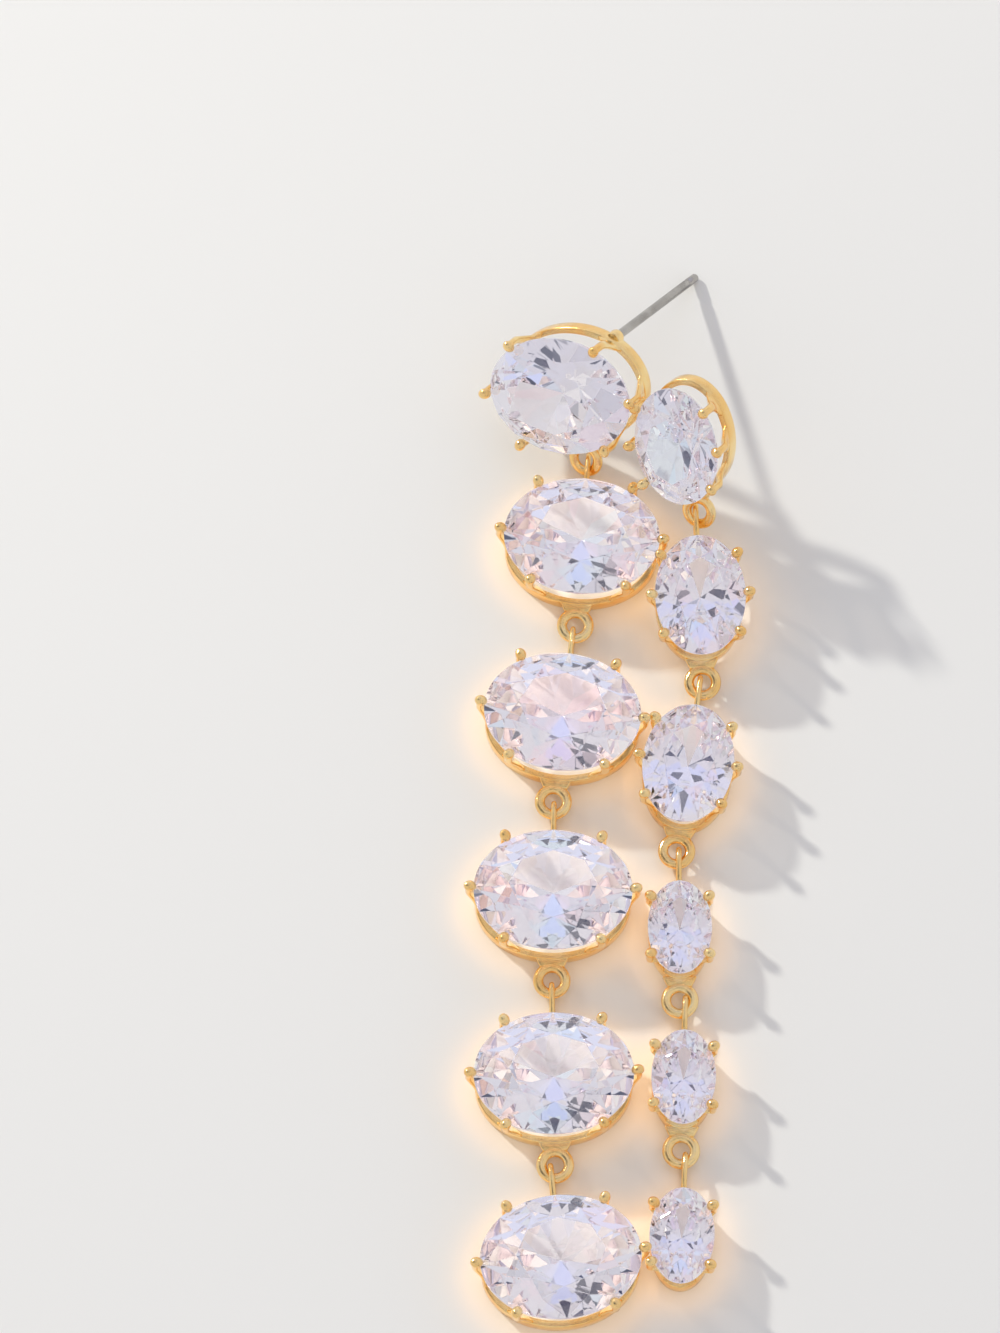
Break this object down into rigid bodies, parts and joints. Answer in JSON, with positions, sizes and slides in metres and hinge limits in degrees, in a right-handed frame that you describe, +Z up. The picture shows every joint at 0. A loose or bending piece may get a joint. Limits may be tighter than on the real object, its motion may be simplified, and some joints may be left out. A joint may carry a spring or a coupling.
{
  "type": "chandelier earring",
  "caption": "Long drop earring: a strand of large oval crystals beside a strand of smaller ones, claw-set in gold on hook-and-eye links, with a straight ear post.",
  "frame": {"origin": "middle of the footprint on the surface that the earring lies on", "axes": "+Z up, away from the surface and out of the stones' tables; +Y along the strands towards the ear post; +X towards the strand of smaller stones"},
  "size_m": [0.0278, 0.1066, 0.0162],
  "materials": {
    "gold": "polished yellow gold plating",
    "steel": "polished grey steel",
    "crystal": "polished clear crystal with a pale lavender cast"
  },
  "bodies": {
    "root": {"top_setting": "gold", "ear_post": "steel", "large_setting_2": "gold", "large_setting_3": "gold", "large_setting_4": "gold", "large_setting_5": "gold", "large_setting_6": "gold", "medium_setting_2": "gold", "medium_setting_3": "gold", "small_setting_1": "gold", "small_setting_2": "gold", "small_setting_3": "gold", "large_stone_1": "crystal", "large_stone_2": "crystal", "large_stone_3": "crystal", "large_stone_4": "crystal", "large_stone_5": "crystal", "large_stone_6": "crystal", "medium_stone_1": "crystal", "medium_stone_2": "crystal", "medium_stone_3": "crystal", "small_stone_1": "crystal", "small_stone_2": "crystal", "small_stone_3": "crystal"}
  },
  "joints": []
}
